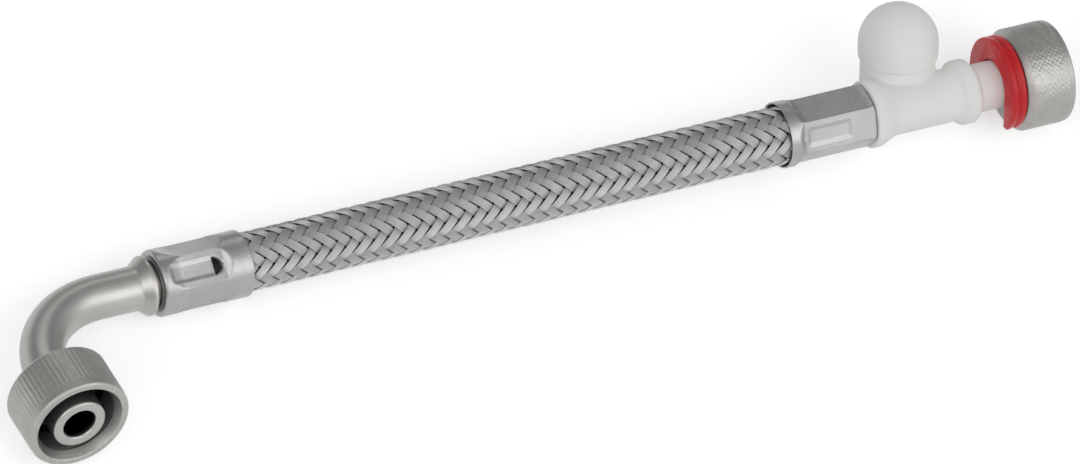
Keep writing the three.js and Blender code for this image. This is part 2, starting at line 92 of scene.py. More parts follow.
TUBE_RADIUS = 5.6
TUBE_BORE = 4.2
FLARE_FACE = 25.4
FLARE_GROOVE = 1.4
FLARE_RADIUS = 7.5
FLARE_RIM = 1.0
FLARE_SLOPE = 2.4
CORNER_X = -61.8
BEND_RADIUS = 23.0
OUTLET_REACH = 39.9
COLLAR_RADIUS = 6.9
COLLAR_LENGTH = 6.0
TAIL_LENGTH = 16.1
TAIL_RADIUS = 2.9
TAIL_BORE = 2.1
BARB_COUNT = 4
BARB_DEPTH = 0.35
NUT_BORE = 10.1
NUT_MOUTH = 11.3
NUT_WEB = 3.0
NUT_CHAMFER = 1.5
THREAD_START = 1.6
THREAD_END = 2.4
THREAD_PITCH = 1.4
THREAD_DEPTH = 0.55
LEFT_NUT_LENGTH = 15.0
LEFT_NUT_RADIUS = 13.3
LEFT_NUT_RIM = 2.4
RIGHT_NUT_LENGTH = 13.0
RIGHT_NUT_RADIUS = 13.0
RIGHT_NUT_RIM = 1.6
TEE_START = 172.3
TEE_COLLAR_RADIUS = 8.6
TEE_COLLAR_END = 174.7
RUN_START = 179.1
RUN_RADIUS = 6.75
RUN_BORE = 4.3
BEAD_START = 196.7
BEAD_END = 202.3
BEAD_RADIUS = 8.2
NECK_RADIUS = 6.1
CLIP_START = 208.3
CLIP_THICKNESS = 3.8
CLIP_RADIUS = 12.0
CLIP_LEG = 8.9
CLIP_RIDGE = 1.45
CLIP_GROOVE = 0.5
RIGHT_NUT_START = 212.4
SPIGOT_START = 215.7
SPIGOT_END = 217.7
SPIGOT_RADIUS = 9.3
WASHER_RADIUS = 9.6
WASHER_THICKNESS = 2.0
BRANCH_X = 185.7
BRANCH_LEAN = math.radians(13.4)
BRANCH_ASIDE = 8.0
BRANCH_RADIUS = 9.4
BRANCH_WALL = 1.8
BRANCH_FOOT = 5.0
BRANCH_HEIGHT = 9.4
CAP_RADIUS = 10.1
CAP_WALL = 1.6
CAP_SKIRT = 3.9
CAP_PLUG = 3.0
CUT_OVERRUN = 2.0
TAIL_CUT = 22.0

BEND_FROM = -(CORNER_X + BEND_RADIUS)
BEND_TO = BEND_FROM + BEND_RADIUS * math.pi / 2
TUBE_END = BEND_TO + OUTLET_REACH - BEND_RADIUS

# Fineness of the meshes
ARC_STEP = math.radians(18)
ON_AXIS = 1e-6
TURNED_SIDES = 96
TUBE_SIDES = 72
BORE_SIDES = 64
FERRULE_SIDES = 240
DOME_STEPS = 20
RIM_STEPS = 96
SLOT_STEPS = 48
WIRE_POINTS = 180
WIRE_SIDES = 5

# Brightness of polished metal, and of metal darkened by painted shade, beside its usual colour
POLISHED = 1.18
PAINTED_SHADE_LEVEL = 0.04

# View, light and floor, in metres and watts
EYE = (-1.7942, -2.0683, 3.3771)
VIEW_AXES = (
    (0.88776, 0.20141, -0.4139), (-0.39971, 0.78326, -0.47617), (0.22829, 0.58817, 0.77585))
LENS = 588.38
LAMPS = (
    ("key", (0.9, -1.4, 1.5), 2.3, 1.6, 14.0),
    ("fill", (-1.3, -0.7, 1.2), 1.4, 1.2, 8.0),
    ("back", (0.2, 1.7, 1.3), 1.4, 0.5, 3.0),
)
SKY_LIGHT = 0.4
SKY_NEAR = 1.0
SKY_FAR = 0.35
FLOOR_GLOW = 0.46
FLOOR_HALF = 3.0


# Shapes

def rounded(corners):
    """Outline of (along, radius, rounding) corners, with each rounded corner as an arc.
    It closes on itself unless it starts on the axis."""
    closed = corners[0][1] > 0
    outline = []
    for i, (along, radius, *rounding) in enumerate(corners):
        corner = Vector((along, radius))
        end = not closed and i in (0, len(corners) - 1)
        if not rounding or end:
            outline.append(corner)
            continue
        back = Vector(corners[i - 1][:2]) - corner
        ahead = Vector(corners[(i + 1) % len(corners)][:2]) - corner
        half = back.angle(ahead) / 2
        reach = min(rounding[0] / math.tan(half), 0.48 * back.length, 0.48 * ahead.length)
        size = reach * math.tan(half)
        inward = (back.normalized() + ahead.normalized()).normalized()
        centre = corner + inward * size / math.sin(half)
        first = corner + back.normalized() * reach - centre
        last = corner + ahead.normalized() * reach - centre
        steps = max(2, math.ceil((math.pi - 2 * half) / ARC_STEP))
        for step in range(steps + 1):
            share = step / steps
            spread = first.angle(last)
            arm = first * math.sin((1 - share) * spread) + last * math.sin(share * spread)
            outline.append(centre + arm / math.sin(spread))
    return outline


def finely(outline, step, start=-1e9, end=1e9):
    """The same outline, with short steps along the axis between two places on it."""
    fine = []
    for a, b in zip(outline, outline[1:] + outline[:1]):
        fine.append(a)
        middle = (a.x + b.x) / 2
        parts = math.ceil(abs(b.x - a.x) / step) if start < middle < end else 1
        if b is outline[0] and outline[0].y == 0:
            parts = 1
        fine += [a.lerp(b, part / parts) for part in range(1, parts)]
    return fine


def arc(radius, start, end, steps):
    """Places on an arc round the origin, with both its ends."""
    angles = [start + (end - start) * step / steps for step in range(steps + 1)]
    return [(radius * math.cos(angle), radius * math.sin(angle)) for angle in angles]


def straight(along):
    """Place and cross directions on the hose's own axis."""
    return Vector((along, 0, 0)), Vector((0, 1, 0)), Vector((0, 0, 1))


def tube_line(along):
    """Place and cross directions on the bent tube, at a distance from the ferrule's mouth."""
    if along < BEND_FROM:
        return Vector((-along, 0, 0)), Vector((0, 1, 0)), Vector((0, 0, 1))
    angle = min(along - BEND_FROM, BEND_TO - BEND_FROM) / BEND_RADIUS
    outward = Vector((-math.sin(angle), math.cos(angle), 0))
    place = Vector((-BEND_FROM, -BEND_RADIUS, 0)) + outward * BEND_RADIUS
    place += Vector((0, -max(0, along - BEND_TO), 0))
    return place, outward, Vector((0, 0, 1))


def turned(outline, sides, line=straight, shape=None):
    """Vertices and faces of a ring or rod: the outline turned round a line.
    shape(along, angle, radius) may give another radius."""
    places, rows = [], []
    for along, radius in outline:
        middle, across, over = line(along)
        if radius < ON_AXIS:
            rows.append([len(places)])
            places.append(middle)
            continue
        rows.append(list(range(len(places), len(places) + sides)))
        for side in range(sides):
            angle = 2 * math.pi * side / sides
            reach = shape(along, angle, radius) if shape else radius
            place = middle + across * (reach * math.cos(angle))
            places.append(place + over * (reach * math.sin(angle)))
    faces = []
    closed = outline[0][1] > ON_AXIS
    for a, b in zip(rows, rows[1:] + rows[:1] if closed else rows[1:]):
        for side in range(sides):
            after = (side + 1) % sides
            ring = [a[side % len(a)], a[after % len(a)], b[after % len(b)], b[side % len(b)]]
            faces.append(list(dict.fromkeys(ring)))
    return places, faces


def smooth_step(low, high, value):
    """Share from 0 to 1 that rises smoothly between two values."""
    share = min(1.0, max(0.0, (value - low) / (high - low)))
    return share * share * (3 - 2 * share)


def on_branch(places):
    """Places of an upright solid, moved to the tee's branch."""
    foot = Vector((BRANCH_X, 0, 0))
    lean = Matrix.Rotation(-BRANCH_LEAN, 3, "X")
    return [foot + lean @ Vector((-p.z, p.y + BRANCH_ASIDE, p.x)) for p in places]


def mesh_of(name, places, faces):
    """Closed mesh with its faces outwards."""
    mesh = bpy.data.meshes.new(name)
    mesh.from_pydata(places, [], faces)
    shell = bmesh.new()
    shell.from_mesh(mesh)
    bmesh.ops.remove_doubles(shell, verts=shell.verts, dist=1e-5)
    bmesh.ops.recalc_face_normals(shell, faces=shell.faces)
    shell.to_mesh(mesh)
    shell.free()
    return mesh


def place_piece(name, mesh, material, body, nodes, placed=None, sharp=38):
    """Object of a mesh in the hose's own frame, riding on a body in place of its CAD nodes."""
    mesh.transform(HOSE_TO_ROW if placed is None else HOSE_TO_ROW @ placed)
    mesh.materials.clear()
    mesh.materials.append(material)
    mesh.shade_smooth()
    mesh.set_sharp_from_angle(angle=math.radians(sharp))
    piece = bpy.data.objects.new(name, mesh)
    bpy.context.scene.collection.objects.link(piece)
    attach(piece, body)
    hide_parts(*nodes)
    return piece


def painted_shade(mesh, amount):
    """Store painted shade on a surface, from 0 to 1, by a function of its place."""
    layer = mesh.attributes.new("painted_shade", "FLOAT", "POINT")
    layer.data.foreach_set("value", [amount(vertex.co) for vertex in mesh.vertices])


def barbed_tail(face, space):
    """Corners of a barbed tail, from its tip to the fitting's face. Its neck passes the
    ferrule's lip, which lies the given space from the face."""
    start = space + LIP_THICKNESS
    pitch = TAIL_LENGTH / BARB_COUNT
    low = TAIL_RADIUS - BARB_DEPTH
    corners = [(start, TUBE_RADIUS, 0.2)]
    for barb in range(BARB_COUNT):
        rise = start + (barb + 0.4) * pitch
        corners += [
            (start + barb * pitch, low, 0.1), (rise, low, 0.1),
            (rise + 0.05 * pitch, TAIL_RADIUS, 0.1)]
    corners.append((start + TAIL_LENGTH, low, 0.2))
    return [(face - distance, radius, size) for distance, radius, size in reversed(corners)]


def plain_mesh(mesh, modifiers=(), tree=None, values=None):
    """A mesh after modifiers or a geometry tree, as a plain mesh."""
    worker = bpy.data.objects.new("worker", mesh)
    bpy.context.scene.collection.objects.link(worker)
    for kind, settings in modifiers:
        modifier = worker.modifiers.new(kind, kind)
        for key, value in settings.items():
            setattr(modifier, key, value)
    if tree:
        modifier = worker.modifiers.new(tree.name, "NODES")
        modifier.node_group = tree
        sockets = {s.name: s.identifier for s in tree.interface.items_tree if s.in_out == "INPUT"}
        for key, value in values.items():
            modifier[sockets[key]] = value
    bpy.context.view_layer.update()
    evaluated = worker.evaluated_get(bpy.context.evaluated_depsgraph_get())
    result = bpy.data.meshes.new_from_object(evaluated)
    worker.modifiers.clear()
    bpy.data.objects.remove(worker)
    return result


# Node trees

class Wiring:
    """Adds nodes to a tree and joins them."""

    def __init__(self, tree):
        self.tree = tree

    def feed(self, socket, value):
        if isinstance(value, bpy.types.NodeSocket):
            self.tree.links.new(value, socket)
        else:
            socket.default_value = value

    def node(self, kind, settings=None, inputs=None):
        node = self.tree.nodes.new(kind)
        for key, value in (settings or {}).items():
            setattr(node, key, value)
        for key, value in (inputs or {}).items():
            self.feed(node.inputs[key], value)
        return node

    def make(self, kind, inputs=None, settings=None):
        """First output of a new node."""
        return self.node(kind, settings, inputs).outputs[0]

    def shared(self, name, inputs):
        """Outputs of a shared shader group."""
        return self.node("ShaderNodeGroup", {"node_tree": group(name)}, inputs).outputs

    def math(self, operation, *values):
        node = self.node("ShaderNodeMath", {"operation": operation})
        for socket, value in zip(node.inputs, values):
            self.feed(socket, value)
        return node.outputs[0]

    def plus(self, first, second):
        return self.math("ADD", first, second)

    def minus(self, first, second):
        return self.math("SUBTRACT", first, second)

    def times(self, first, second):
        return self.math("MULTIPLY", first, second)

    def over(self, first, second):
        return self.math("DIVIDE", first, second)

    def clamp(self, value, low=0.0, high=1.0):
        return self.make("ShaderNodeClamp", {0: value, 1: low, 2: high})

    def noise(self, place, scale, detail, roughness=0.5):
        return self.make("ShaderNodeTexNoise", {
            "Vector": place, "Scale": scale, "Detail": detail, "Roughness": roughness})

    def spread(self, value, low, high, start=0.0, end=1.0):
        """Value that runs from start to end while the given one runs from low to high."""
        return self.make("ShaderNodeMapRange", {
            "Value": value, "From Min": low, "From Max": high, "To Min": start, "To Max": end})

    def mix(self, share, first, second):
        """Colour between two colours."""
        node = self.node("ShaderNodeMix", {"data_type": "RGBA"})
        for socket, value in ((0, share), (6, first), (7, second)):
            self.feed(node.inputs[socket], value)
        return node.outputs[2]


SOCKETS = {float: "NodeSocketFloat", int: "NodeSocketInt", tuple: "NodeSocketColor"}


def new_tree(kind, name, inputs, outputs):
    """Node group with its named sockets, and the wiring, input sockets and output node in it.
    An input is given by its usual value, or by its type where it has none."""
    tree = bpy.data.node_groups.new(name, kind)
    for label, default in inputs.items():
        bare = isinstance(default, str)
        socket = default if bare else SOCKETS[type(default)]
        item = tree.interface.new_socket(label, in_out="INPUT", socket_type=socket)
        if not bare:
            item.default_value = default
    for label, socket in outputs:
        tree.interface.new_socket(label, in_out="OUTPUT", socket_type=socket)
    wiring = Wiring(tree)
    entry = wiring.node("NodeGroupInput").outputs
    end = wiring.node("NodeGroupOutput")
    return tree, wiring, entry, end


def close_tree(w, end, geometry, material):
    """End of a geometry tree: its instances made real, in their material."""
    real = w.make("GeometryNodeRealizeInstances", {0: geometry})
    dressed = w.make("GeometryNodeSetMaterial", {"Geometry": real, "Material": material})
    w.feed(end.inputs[0], dressed)


def knurl_tree():
    """Geometry tree that presses a straight or crossed knurl into the outside of a nut."""
    tree, w, entry, end = new_tree("GeometryNodeTree", "Knurl", {
        "Geometry": "NodeSocketGeometry", "Radius": 13.0, "Start": 1.5, "End": 12.0,
        "Ridges": 56, "Depth": 0.4, "Lean": 0.0, "Fade": 0.4, "Wear": 0.5,
        "Material": "NodeSocketMaterial",
    }, [("Geometry", "NodeSocketGeometry")])
    place = w.make("GeometryNodeInputPosition")
    parts = w.node("ShaderNodeSeparateXYZ", inputs={0: place}).outputs
    reach = w.math("SQRT", w.plus(w.math("POWER", parts[1], 2.0), w.math("POWER", parts[2], 2.0)))
    outside = w.math("GREATER_THAN", reach, w.minus(entry["Radius"], 0.02))
    turn = w.times(w.math("ARCTAN2", parts[2], parts[1]), 1 / (2 * math.pi))
    count = w.times(turn, entry["Ridges"])
    lean = w.times(w.minus(parts[0], entry["Start"]), entry["Lean"])
    one = w.math("PINGPONG", w.plus(count, lean), 0.5)
    other = w.math("PINGPONG", w.minus(count, lean), 0.5)
    crest = w.times(w.math("MINIMUM", one, other), 2.0)
    soft = w.math("SINE", w.times(crest, math.pi / 2))
    enter = w.clamp(w.over(w.minus(parts[0], entry["Start"]), entry["Fade"]))
    leave = w.clamp(w.over(w.minus(entry["End"], parts[0]), entry["Fade"]))
    mask = w.times(w.times(enter, leave), outside)
    worn = w.spread(w.noise(place, 0.9, 3.0), 0.4, 0.6, end=entry["Wear"])
    depth = w.times(entry["Depth"], w.minus(1.0, worn))
    sink = w.times(w.times(w.minus(soft, 1.0), depth), mask)
    share = w.over(sink, reach)
    offset = w.make("ShaderNodeCombineXYZ", {
        1: w.times(parts[1], share), 2: w.times(parts[2], share)})
    moved = w.make("GeometryNodeSetPosition", {"Geometry": entry["Geometry"], "Offset": offset})
    close_tree(w, end, moved, entry["Material"])
    return tree


def braid_tree():
    """Geometry tree of one hand of the braid: carriers of parallel wires that wind round the
    hose and pass over and under the carriers of the other hand."""
    tree, w, entry, end = new_tree("GeometryNodeTree", "Braid", {
        "Geometry": "NodeSocketGeometry", "Start": -5.0, "Length": 154.0, "Radius": 6.8,
        "Lay": 47.0, "Relief": 0.25, "Crown": 0.12, "Carriers": 12, "Wires": 6,
        "Wire Gauge": 0.34, "Wire Spacing": 0.36, "Hand": 1.0, "Points": 400, "Sides": 5,
        "Material": "NodeSocketMaterial",
    }, [("Geometry", "NodeSocketGeometry")])
    strands = w.times(entry["Carriers"], entry["Wires"])
    line = w.make("GeometryNodeCurvePrimitiveLine", {"Start": (0, 0, 0), "End": (1, 0, 0)})
    even = w.make("GeometryNodeResampleCurve", {"Curve": line, "Count": entry["Points"]})
    seeds = w.make("GeometryNodePoints", {"Count": strands})
    placed = w.make("GeometryNodeInstanceOnPoints", {"Points": seeds, "Instance": even})
    real = w.make("GeometryNodeRealizeInstances", {0: placed})
    index = w.make("GeometryNodeInputIndex")
    strand = w.math("FLOOR", w.over(w.plus(index, 0.5), entry["Points"]))
    step = w.minus(index, w.times(strand, entry["Points"]))
    share = w.over(step, w.minus(entry["Points"], 1.0))
    carrier = w.math("FLOOR", w.over(w.plus(strand, 0.5), entry["Wires"]))
    wire = w.minus(strand, w.times(carrier, entry["Wires"]))
    centred = w.minus(wire, w.times(w.minus(entry["Wires"], 1.0), 0.5))
    aside = w.times(w.times(centred, entry["Wire Spacing"]), math.sqrt(0.5))
    travel = w.plus(entry["Start"], w.times(share, entry["Length"]))
    along = w.minus(travel, w.times(aside, entry["Hand"]))
    first = w.over(w.times(carrier, 2 * math.pi), entry["Carriers"])
    turns = w.over(w.times(travel, entry["Hand"]), entry["Lay"])
    wound = w.plus(w.times(turns, 2 * math.pi), w.over(aside, entry["Radius"]))
    angle = w.plus(first, wound)
    crossing = w.over(entry["Lay"], w.times(entry["Carriers"], 2.0))
    passed = w.times(w.over(travel, crossing), entry["Hand"])
    floats = w.plus(w.times(carrier, 2.0), passed)
    middle = w.minus(1.5, entry["Hand"])
    phase = w.times(w.minus(floats, middle), math.pi / 2)
    wave = w.clamp(w.times(w.math("COSINE", phase), 1.5), -1.0, 1.0)
    edge = w.over(w.times(centred, 2.0), entry["Wires"])
    crown = w.times(w.minus(1.0, w.times(edge, edge)), entry["Crown"])
    lifted = w.plus(entry["Radius"], crown)
    reach = w.plus(lifted, w.times(wave, entry["Relief"]))
    place = w.make("ShaderNodeCombineXYZ", {
        0: along, 1: w.times(reach, w.math("COSINE", angle)),
        2: w.times(reach, w.math("SINE", angle))})
    lines = w.make("GeometryNodeSetPosition", {"Geometry": real, "Position": place})
    # Painted shade: a wire darkens where it dives under the carriers of the other hand.
    sunk = w.times(w.minus(1.0, wave), 0.26)
    shaded = w.make(
        "GeometryNodeStoreNamedAttribute", {"Geometry": lines, "Name": "painted_shade", "Value": sunk},
        {"data_type": "FLOAT", "domain": "POINT"})
    half = w.times(entry["Wire Gauge"], 0.5)
    section = w.make("GeometryNodeCurvePrimitiveCircle", {
        "Resolution": entry["Sides"], "Radius": half})
    wires = w.make("GeometryNodeCurveToMesh", {
        "Curve": shaded, "Profile Curve": section, "Fill Caps": True})
    close_tree(w, end, wires, entry["Material"])
    return tree


# Finishes

def grain_group():
    """Fine unevenness of a surface: a height for its bump and a roughness that varies."""
    tree, w, entry, end = new_tree("ShaderNodeTree", "Fine Grain", {
        "Scale": 900.0, "Roughness": 0.35, "Variation": 0.1,
    }, [("Height", "NodeSocketFloat"), ("Roughness", "NodeSocketFloat")])
    place = w.node("ShaderNodeTexCoord").outputs["Object"]
    fine = w.noise(place, entry["Scale"], 4.0, 0.6)
    broad = w.noise(place, 160.0, 2.0)
    mixed = w.plus(w.times(fine, 0.6), w.times(broad, 0.4))
    shift = w.times(w.minus(mixed, 0.5), entry["Variation"])
    w.feed(end.inputs["Height"], fine)
    w.feed(end.inputs["Roughness"], w.plus(entry["Roughness"], w.times(shift, 2.0)))
    return tree


def tone_group():
    """Colour that drifts between a clean and a dulled tone in soft patches and small specks."""
    tree, w, entry, end = new_tree("ShaderNodeTree", "Tone Drift", {
        "Clean": (0.6, 0.6, 0.6, 1.0), "Dulled": (0.4, 0.4, 0.4, 1.0),
        "Amount": 0.4, "Scale": 120.0,
    }, [("Color", "NodeSocketColor")])
    place = w.node("ShaderNodeTexCoord").outputs["Object"]
    patches = w.spread(w.noise(place, entry["Scale"], 5.0, 0.65), 0.38, 0.68)
    mask = w.times(patches, entry["Amount"])
    w.feed(end.inputs["Color"], w.mix(mask, entry["Clean"], entry["Dulled"]))
    return tree


def edge_group():
    """Mask of the ridges and sharp edges that handling has polished."""
    tree, w, entry, end = new_tree("ShaderNodeTree", "Rubbed Edges", {
        "Low": 0.52, "High": 0.62,
    }, [("Mask", "NodeSocketFloat")])
    bend = w.node("ShaderNodeNewGeometry").outputs["Pointiness"]
    w.feed(end.inputs["Mask"], w.spread(bend, entry["Low"], entry["High"]))
    return tree


GROUPS = {}


def group(name):
    """Shared shader group of this name, made on its first use."""
    makers = {"Fine Grain": grain_group, "Tone Drift": tone_group, "Rubbed Edges": edge_group}
    if name not in GROUPS:
        GROUPS[name] = makers[name]()
    return GROUPS[name]


def new_material(name):
    """Material with an empty Principled shader, and the wiring of its tree."""
    material = bpy.data.materials.new(name)
    material.use_nodes = True
    material.node_tree.nodes.clear()
    w = Wiring(material.node_tree)
    shader = w.node("ShaderNodeBsdfPrincipled")
    out = w.node("ShaderNodeOutputMaterial")
    w.feed(out.inputs["Surface"], shader.outputs[0])
    return material, w, shader


def surface(w, shader, clean, dulled, amount, patch, roughness, variation, grain, bump):
    """Tone, roughness and bump of a finish. Returns the colour, to be worked further."""
    drift = w.shared("Tone Drift", {
        "Clean": clean, "Dulled": dulled, "Amount": amount, "Scale": patch})
    fine = w.shared("Fine Grain", {
        "Scale": grain, "Roughness": roughness, "Variation": variation})
    relief = w.make("ShaderNodeBump", {
        "Strength": bump, "Distance": 0.0001, "Height": fine["Height"]})
    w.feed(shader.inputs["Base Color"], drift["Color"])
    w.feed(shader.inputs["Roughness"], fine["Roughness"])
    w.feed(shader.inputs["Normal"], relief)
    return drift["Color"]


def tone(colour, factor=1.0):
    """Opaque colour, lighter or darker by a factor."""
    return tuple(min(1.0, channel * factor) for channel in colour) + (1.0,)


def metal(name, colour, roughness, variation=0.12, dull=0.72, amount=0.5, patch=90.0,
          grain=1500.0, bump=0.25, rub=(0.52, 0.6)):
    """Metal that is dulled in patches, polished on its edges and darkened by the painted shade
    stored on its mesh.
    """
    material, w, shader = new_material(name)
    shader.inputs["Metallic"].default_value = 1.0
    drift = surface(w, shader, tone(colour), tone(colour, dull), amount, patch,
                    roughness, variation, grain, bump)
    edges = w.shared("Rubbed Edges", {"Low": rub[0], "High": rub[1]})["Mask"]
    # Painted shade: the colour goes towards a near-black tone where the mesh stores painted shade.
    painted_shade_share = w.node("ShaderNodeAttribute", {"attribute_name": "painted_shade"}).outputs["Fac"]
    rubbed = w.mix(edges, drift, tone(colour, POLISHED))
    w.feed(shader.inputs["Base Color"], w.mix(painted_shade_share, rubbed, tone(colour, PAINTED_SHADE_LEVEL)))
    return material


def plastic(name, colour, dulled, roughness, soft, soft_scale, coat=0.0, shine=0.5):
    """Plastic or rubber with a fine moulded grain, which may let some light in."""
    material, w, shader = new_material(name)
    surface(w, shader, tone(colour), tone(dulled), 0.6, 70.0, roughness, 0.08, 2200.0, 0.1)
    shader.inputs["Subsurface Weight"].default_value = soft
    shader.inputs["Subsurface Radius"].default_value = (1.0, 1.0, 0.9)
    shader.inputs["Subsurface Scale"].default_value = soft_scale
    shader.inputs["Coat Weight"].default_value = coat
    shader.inputs["Specular IOR Level"].default_value = shine
    return material


# What a user may change

def length_setting(name, description, default, low, high):
    return bpy.props.FloatProperty(
        name=name, description=description, default=default, min=low, max=high,
        precision=5, unit="LENGTH")


def count_setting(name, description, default, low, high):
    return bpy.props.IntProperty(
        name=name, description=description, default=default, min=low, max=high)


def colour_setting(name, description, default):
    return bpy.props.FloatVectorProperty(
        name=name, description=description, subtype="COLOR", default=default, min=0.0, max=1.0)


class HoseSizes(bpy.types.PropertyGroup):
    wire_gauge: length_setting(
        "Wire Gauge", "Thickness of one braid wire", 0.00035, 0.0001, 0.0006)
    wires: count_setting("Wires", "Parallel wires in each carrier of the braid", 6, 2, 9)
    carriers: count_setting("Carriers", "Carriers wound in each direction", 12, 8, 16)
    braid_lay: length_setting(
        "Braid Lay", "Length in which a carrier winds once round the hose", 0.0467, 0.03, 0.08)
    braid_relief: length_setting(
        "Braid Relief", "How far a carrier rises and sinks as it crosses others",
        0.00033, 0.0, 0.0004)
    bundle_crown: length_setting(
        "Bundle Crown", "How far the middle wires of a carrier stand above its edge wires",
        0.00012, 0.0, 0.0003)
    window_depth: length_setting(
        "Window Depth", "Depth of the windows pressed in the ferrules", 0.0003, 0.0, 0.0008)
    pocket_depth: length_setting(
        "Pocket Depth", "Depth of the pocket at the left ferrule's windows", 0.0006, 0.0, 0.0009)
    left_ridges: count_setting("Left Nut Ridges", "Ridges of the straight knurl", 66, 30, 90)
    right_ridges: count_setting("Right Nut Ridges", "Ridges of the crossed knurl", 60, 30, 90)
    left_depth: length_setting(
        "Left Knurl Depth", "Depth of the straight knurl", 0.00014, 0.0, 0.0008)
    right_depth: length_setting(
        "Right Knurl Depth", "Depth of the crossed knurl", 0.0002, 0.0, 0.0008)


class HoseColours(bpy.types.PropertyGroup):
    tube: colour_setting("Tube", "Satin steel of the bent tube", (0.44, 0.43, 0.415))
    ferrule: colour_setting("Ferrules", "Pressed steel of the ferrules", (0.41, 0.407, 0.4))
    wire: colour_setting("Wire", "Bright wire of the braid", (0.58, 0.575, 0.568))
    nut: colour_setting("Nuts", "Nickel plating of the union nuts", (0.425, 0.415, 0.4))
    moulding: colour_setting(
        "Moulding", "Natural plastic of the tee and its cap", (0.86, 0.868, 0.828))
    clip: colour_setting("Clip", "Red plastic of the locking clip", (0.58, 0.012, 0.018))
    rubber: colour_setting("Rubber", "Rubber of the liner and the washer", (0.018, 0.018, 0.018))
    floor: colour_setting("Floor", "Pale floor", (0.86, 0.86, 0.86))


# Pieces

def bore_painted_shade(place):
    """Painted shade in the bent tube's bore, from a little inside its outlet to half its leg."""
    depth = place.y + OUTLET_REACH
    inside = math.hypot(place.x - CORNER_X, place.z) < TUBE_BORE + 0.2
    return 1.0 if inside and 0.8 < depth < OUTLET_REACH / 2 else 0.0


class BendTubeOperator(bpy.types.Operator):
    """Make the bent outlet tube with its flare, barbed tail and collar"""
    bl_idname = "hose.bend_tube"
    bl_label = "Bent Tube"

    def execute(self, context):
        colours = context.scene.hose_colours
        finish = metal("satin_tube", colours.tube, 0.38, variation=0.1, patch=60.0, amount=0.35,
                       bump=0.12, rub=(0.56, 0.66))
        tail = barbed_tail(FLARE_FACE, FLARE_GROOVE)
        corners = [(tail[0][0], TAIL_BORE, 0.2)] + tail + [
            (FLARE_FACE, TUBE_RADIUS, 0.3), (FLARE_FACE, FLARE_RADIUS, 0.3),
            (FLARE_FACE + FLARE_RIM, FLARE_RADIUS, 0.5),
            (FLARE_FACE + FLARE_RIM + FLARE_SLOPE, TUBE_RADIUS, 1.4),
            (TUBE_END - COLLAR_LENGTH, TUBE_RADIUS, 0.5),
            (TUBE_END - COLLAR_LENGTH + 1.0, COLLAR_RADIUS, 0.5),
            (TUBE_END, COLLAR_RADIUS, 0.7), (TUBE_END, TUBE_BORE, 0.7),
            (FLARE_FACE + 1.0, TUBE_BORE, 0.4), (FLARE_FACE - 1.0, TAIL_BORE, 0.4),
        ]
        outline = finely(rounded(corners), 1.0, BEND_FROM, BEND_TO)
        mesh = mesh_of("bent_tube", *turned(outline, TUBE_SIDES, tube_line))
        painted_shade(mesh, bore_painted_shade)
        place_piece("bent_tube", mesh, finish, "hose", ["elbow_tube"])
        return {"FINISHED"}


def press_depth(press, along):
    """How far the press closed at a place, from 0 to 1."""
    enter = (along - press["start"]) / (press["flat_start"] - press["start"])
    leave = (press["end"] - along) / (press["end"] - press["flat_end"])
    closed = min(enter, leave)
    if closed < 1 - PRESS_SOFTNESS:
        return closed
    return 1 - PRESS_SOFTNESS * math.exp((1 - PRESS_SOFTNESS - closed) / PRESS_SOFTNESS)


def pocket_share(press, along, across):
    """Share of the pocket's depth at a place: a half round behind the window's start."""
    behind = press["window"] - WINDOW_LENGTH / 2 + POCKET_OVERLAP - along
    if behind < 0:
        return 0.0
    out = math.hypot(behind / POCKET_LENGTH, across / (WINDOW_WIDTH / 2))
    return 1 - smooth_step(POCKET_RIM, 1.0, out)


def pressed_side(press, angle):
    """Number of the pressed side that an angle falls on, and the angle from its middle."""
    sixth = math.pi / 3
    turn = angle - math.radians(press["turn"])
    side = round(turn / sixth)
    return side, turn - side * sixth


def pressed(press, window_depth, pocket_depth):
    """Radius of a ferrule's outside: a barrel pressed flat on six sides, with a window on
    every second one, and a pocket where the window's punch bit into the barrel."""
    start = press["window"] - WINDOW_LENGTH / 2
    end = press["window"] + WINDOW_LENGTH / 2
    wide_open = FERRULE_RADIUS + FERRULE_WALL

    def shape(along, angle, radius):
        if radius < PRESSED_FROM:
            return radius
        side, aside = pressed_side(press, angle)
        flat = wide_open - (wide_open - CRIMP_FLAT) * press_depth(press, along)
        pressed_to = flat / math.cos(aside)
        share = min(1.0, max(0.0, 0.5 + 0.5 * (radius - pressed_to) / PRESS_BLEND))
        reach = radius * (1 - share) + pressed_to * share - PRESS_BLEND * share * (1 - share) / 2
        if side % 2:
            return reach
        across = abs(reach * math.sin(aside))
        crosswise = 1 - smooth_step(
            WINDOW_WIDTH / 2 - WINDOW_EDGE_INSIDE, WINDOW_WIDTH / 2 + WINDOW_EDGE_OUTSIDE, across)
        lengthwise = min(smooth_step(start, start + WINDOW_SLOPE, along),
                         1 - smooth_step(end - WINDOW_SLOPE, end, along))
        reach -= window_depth * crosswise * lengthwise
        pocket_floor = CRIMP_FLAT - pocket_depth
        if pocket_depth and reach > pocket_floor:
            reach += (pocket_floor - reach) * pocket_share(press, along, across)
        return reach
    return shape


def ferrule_painted_shade(press, pocket):
    """Painted shade inside a ferrule's mouth and in the pocket that its window's punch left."""
    def amount(place):
        reach = math.hypot(place.y, place.z)
        if place.x < MOUTH_SHADE and reach < BRAID_RADIUS + GAP + 0.05:
            return 1.0
        side, aside = pressed_side(press, math.atan2(place.z, place.y))
        if not pocket or side % 2:
            return 0.0
        return pocket_share(press, place.x, abs(reach * math.sin(aside)))
    return amount


